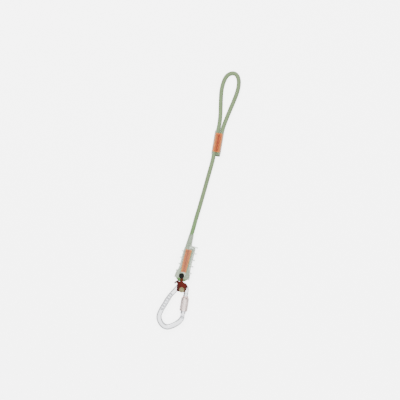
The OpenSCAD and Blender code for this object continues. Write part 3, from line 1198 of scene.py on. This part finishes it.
@dataclass
class Connector:
    """The bar, the gate, the indicator ring and the lock sleeve."""

    thick: float = 10.4
    recess: tuple = (2.3, 1.8)

    def middle(self) -> tuple:
        """The bar's middle line and half widths, from the nose to the gate hinge.

        Returns:
            Path n x 3 in row-frame millimetres, and n half widths.
        """

        def gate_line(ys: tuple) -> np.ndarray:
            """Points on the gate's line, x and y."""
            pts = np.array([(0.0, y, 0.0) for y in ys])
            return (GATE.out(pts) - SHIFT)[:, :2]

        bend = arc(AXLE.x, AXLE.y, BEND_R, 5, 162, 15)
        spine = [(-5.6, -34), (-9.2, -40.5), (-12.8, -47.5), (-16, -56), (-20.1, -69), (-23.8, -81)]
        corner = [(-26, -91), (-26.2, -97.5), (-24.4, -103.7), (-20.8, -109.2), (-15.8, -113.9)]
        basket = [(-9.8, -117), (-3.6, -117.4), (2, -115.6), (8, -111.6), (14, -106.6), (19, -101)]
        end = [(22.6, -95), (24.2, -90.4)]
        rows = np.vstack(
            [gate_line((54.5, 57.5)), bend, spine, corner, basket, end, gate_line((0, 2.4, 4, 5))]
        )
        widths = [4.8] * 17 + [5.2] * 3 + [5.7] * 5 + [5.9] * 9 + [5.5] * 2 + [5, 4.6, 3.8, 2.6]
        line = resample(np.column_stack([rows, widths]), 0.7)
        path = np.column_stack([line[:, :2], np.full(len(line), MID)]) + SHIFT
        return path, line[:, 2]

    def bar(self) -> None:
        """The forged bar: rounded sections on the middle line, with a ribbed recess in the spine.

        On both faces, where |across| is under the recess's half width, the height drops by
        depth * window(s) * (1 - rib(s)), rib being a row of narrow cross bars.
        """
        path, half = self.middle()
        s = lengths(path)
        high, power = np.full(len(s), self.thick / 2), np.full(len(s), 0.62)
        section = superellipse(half, high, power, ROUND)
        y = path[:, 1] - SHIFT[1]
        spine = (path[:, 0] - SHIFT[0] < 0) & (y < -30)
        window = np.clip((-43 - y) / 2, 0, 1) * np.clip((y + 83) / 2, 0, 1) * spine
        rib = np.clip(1.6 - np.abs((s % 6.5) - 3.25) / 0.45, 0, 1) * 0.8
        across = np.clip((self.recess[0] + 0.6 - np.abs(section[..., 0])) / 0.6, 0, 1)
        drop = self.recess[1] * across * (window * (1 - rib))[:, None]
        section[..., 1] -= np.sign(section[..., 1]) * drop
        grid = sweep(path, section)
        frame_piece = make_piece("connector_bar", [Surface(grid, caps=True)])
        ring = arc(0, 0, 6.5, 0, 352.5, 48)
        mouth = np.array([(-6.5, -0.5), (7.5, -0.5), (7.5, 16), (-6.5, 16)])
        cutters = [
            make_piece("cut_a", [slab(ring, -3.4, 3.4, GATE)], False),
            make_piece("cut_b", [slab(mouth, -3.4, 3.4, GATE)], False),
        ]
        carve(frame_piece, cutters)
        settle(frame_piece, "connector", Look.BRIGHT, "bright_aluminium", "connector_frame")
        stem = np.array([(-2.6, 48.8), (3.6, 48.8), (3.6, 55.5), (-2.6, 55.5)])
        bar_end = np.array([(-2.6, 48.8), (3.6, 48.8), (3.6, 51.0), (-2.6, 51.0)])
        key = make_piece(
            "nose_key", [slab(stem, -1.6, 1.6, GATE), slab(bar_end, -3.0, 3.0, GATE)], False
        )
        soften(key, 0.25, 2)
        settle(key, "connector", Look.BRIGHT, "bright_aluminium")

    def sleeve(self) -> None:
        """The screw sleeve: a turned tube with a diamond knurl between two smooth rims.

        Outside, r = R - depth * (1 - max(ridge)) in the knurled band, the ridges being
        sin(n a + k y) and sin(n a - k y); inside, a threaded end and a wider bore.
        """
        steps, rows = 216, 110
        y = np.linspace(0, 30, rows)
        r = np.interp(y, [0, 0.5, 1.4, 27.6, 29.2, 30], [7.4, 8.3, 8.75, 8.75, 7.9, 7.2])
        a = (np.arange(steps) * TAU / steps)[None]
        k = TAU / 2.6
        ridge = np.maximum(np.sin(18 * a + k * y[:, None]), np.sin(18 * a - k * y[:, None]))
        band = (np.clip((y - 3.4) / 0.5, 0, 1) * np.clip((25.6 - y) / 0.5, 0, 1))[:, None]
        groove = 0.35 * np.exp(-(((y - 26.6) / 0.35) ** 2))[:, None]
        outer = r[:, None] - 0.42 * band * (1 - ridge) / 2 - groove
        bore = np.array([(6.55, 30), (6.5, 28), (6.5, 7.2), (5.75, 6.8), (5.75, 0)])
        radius = np.vstack([outer, np.repeat(bore[:, :1], steps, axis=1)])
        height = np.concatenate([y, bore[:, 1]]) + 13.8
        grid = np.stack(
            [radius * np.cos(a), np.repeat(height[:, None], steps, 1), radius * np.sin(a)], -1
        )
        piece = make_piece("knurled_sleeve", [Surface(GATE.out(grid), along=True)])
        settle(piece, "lock", Look.ROSE, "white_aluminium", "lock_sleeve")

    def indicator(self) -> None:
        """The red ring: a band with rounded edges, turned about the gate's line."""
        corners = np.array([(5.65, 44.0), (6.3, 44.0), (6.3, 47.3), (5.65, 47.3)])
        ring = make_piece("red_ring", [lathe(fillet(corners, 0.3), GATE, "Y", 72, True)])
        settle(ring, "indicator", Look.BAND, "pink_red_plastic", "indicator_ring")

    def build(self) -> None:
        """Makes the connector and dresses the pieces that keep their CAD shape."""
        self.bar()
        self.sleeve()
        self.indicator()
        for node, look in (
            ("gate", Look.TURNED),
            ("gate_rivet", Look.GROUND),
            ("gate_spring", Look.WIRE),
            ("gate_plunger", Look.GROUND),
        ):
            dress(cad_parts[node], look)


# ---------------------------------------------------------------- room


@dataclass
class Studio:
    """The camera, a pale floor and soft light."""

    height: float = 2.0
    view_width: float = 0.892
    lean: float = 14.1
    aim: tuple = (-0.0006, 0.0008)
    glow: float = 4.4
    sky: tuple = (0.15, 3.8)

    def camera(self) -> None:
        """A camera straight above, turned so that the tether leans to the right."""
        data = bpy.data.cameras.new("view")
        data.sensor_width = 36.0
        data.lens = data.sensor_width * self.height / self.view_width
        cam = bpy.data.objects.new("view", data)
        cam.location = (*self.aim, self.height)
        cam.rotation_euler = (0.0, 0.0, math.radians(self.lean))
        bpy.context.scene.collection.objects.link(cam)
        bpy.context.scene.camera = cam

    def floor(self) -> None:
        """A plain pale sheet, far larger than the view."""
        half = 4000.0
        grid = np.array(
            [[(-half, -half, 0), (half, -half, 0)], [(-half, half, 0), (half, half, 0)]], float
        )
        floor = make_piece("floor", [Surface(grid, around=False)])
        material = bpy.data.materials.new("pale paper")
        material.use_nodes = True
        shader = material.node_tree.nodes["Principled BSDF"]
        shader.inputs["Base Color"].default_value = linear("FAFAFA")
        shader.inputs["Roughness"].default_value = 0.9
        # the sheet is lit from behind, as a light table is, for the view only
        shader.inputs["Emission Color"].default_value = (1.0, 1.0, 1.0, 1.0)
        g = Graph(material.node_tree, shader)
        seen = g.add("LightPath", {}, "Is Camera Ray")
        g.feed("Emission Strength", g.maths("MULTIPLY", seen, self.glow))
        floor.data.materials.append(material)

    def light(self, name: str, at: tuple, size: float, power: float) -> None:
        """A soft square light that points at the middle of the part.

        Args:
            name: Its name.
            at: Where it stands, metres.
            size: Its side, metres.
            power: Its power, watts.
        """
        data = bpy.data.lights.new(name, "AREA")
        data.size = size
        data.energy = power
        lamp = bpy.data.objects.new(name, data)
        lamp.location = at
        x, y, z = at
        lamp.rotation_euler = (math.atan2(math.hypot(x, y), z), 0.0, math.atan2(x, -y))
        bpy.context.scene.collection.objects.link(lamp)

    def build(self) -> None:
        """Makes the room."""
        self.camera()
        self.floor()
        world = bpy.data.worlds.new("studio")
        world.use_nodes = True
        g = Graph(world.node_tree, world.node_tree.nodes["Background"])
        g.shader.inputs["Color"].default_value = (1.0, 1.0, 1.0, 1.0)
        # a bright ceiling and darker walls, so that turned edges read grey
        way = g.axes(g.add("TexCoord", {}, "Generated"))
        high = g.maths("POWER", g.maths("MAXIMUM", (way, "Z"), 0.0), 4.0)
        g.feed("Strength", g.remap(high, 0.0, 1.0, *self.sky))
        bpy.context.scene.world = world
        self.light("key", (-0.9, 1.1, 1.6), 1.2, 30.0)
        self.light("fill", (1.2, -0.6, 1.5), 1.5, 12.0)


def main() -> None:
    """Builds the room, then the rope, the sleeve, the link and the connector."""
    logging.basicConfig(level=logging.INFO, format="%(message)s")
    Studio().build()
    for part in (Rope(), RibbedSleeve(), Link(), Connector()):
        part.build()


if __name__ == "__main__":
    main()
